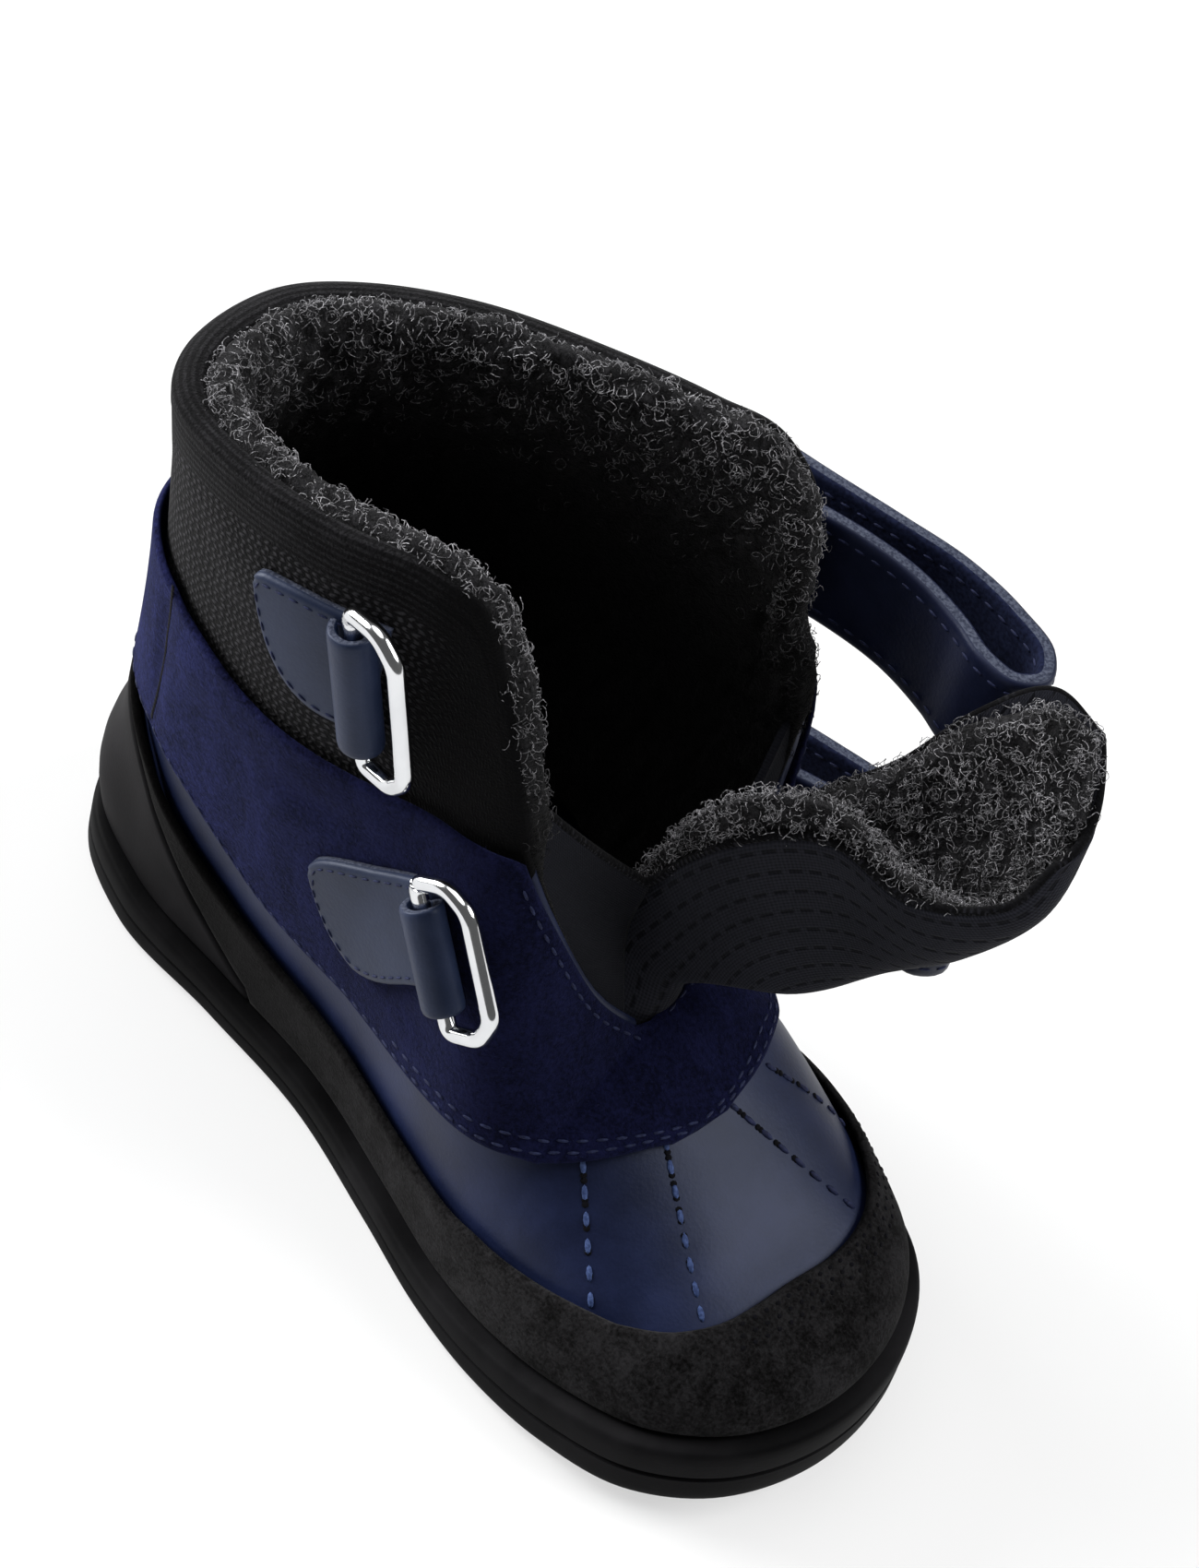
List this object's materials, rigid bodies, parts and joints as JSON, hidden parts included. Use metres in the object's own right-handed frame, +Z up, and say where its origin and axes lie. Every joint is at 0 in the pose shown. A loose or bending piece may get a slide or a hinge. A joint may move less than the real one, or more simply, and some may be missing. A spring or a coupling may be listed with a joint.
{
  "type": "barefoot shoe",
  "caption": "Child's lined winter barefoot boot, open and standing on a thin flat rubber sole, with leather straps that close through wire rings on its inner side.",
  "frame": {"origin": "on the floor, under the middle of the sole's length", "axes": "+X towards the toe, +Y towards the outer side of the left foot, +Z up"},
  "size_m": [0.165, 0.0934, 0.1176],
  "materials": {
    "rubber": "matte moulded black rubber",
    "leather": "smooth navy leather with a soft sheen",
    "nubuck": "matte black nubuck",
    "suede": "napped navy suede",
    "textile": "black woven textile",
    "wool": "charcoal wool pile",
    "steel": "polished chrome wire"
  },
  "bodies": {
    "shoe": {"outsole": "rubber", "insole": "wool", "upper": "leather", "heel_counter": "rubber", "rand": "nubuck", "suede_quarter": "suede", "backstay": "suede", "tongue": "textile", "gusset_medial": "textile", "gusset_lateral": "textile", "ring_tab_upper": "leather", "ring_tab_lower": "leather", "strap_upper": "leather", "strap_lower": "leather"},
    "ring_upper": {"ring_upper": "steel"},
    "ring_lower": {"ring_lower": "steel"}
  },
  "joints": [
    {"name": "ring_upper_swing", "type": "hinge", "parent": "shoe", "child": "ring_upper", "pos_m": [-0.01405, -0.02937, 0.09829], "axis": [0.2323, 0.0695, -0.9702], "range_deg": [-20, 125]},
    {"name": "ring_lower_swing", "type": "hinge", "parent": "shoe", "child": "ring_lower", "pos_m": [0.00894, -0.02873, 0.06453], "axis": [0.59, -0.0692, -0.8044], "range_deg": [-4, 145]}
  ]
}
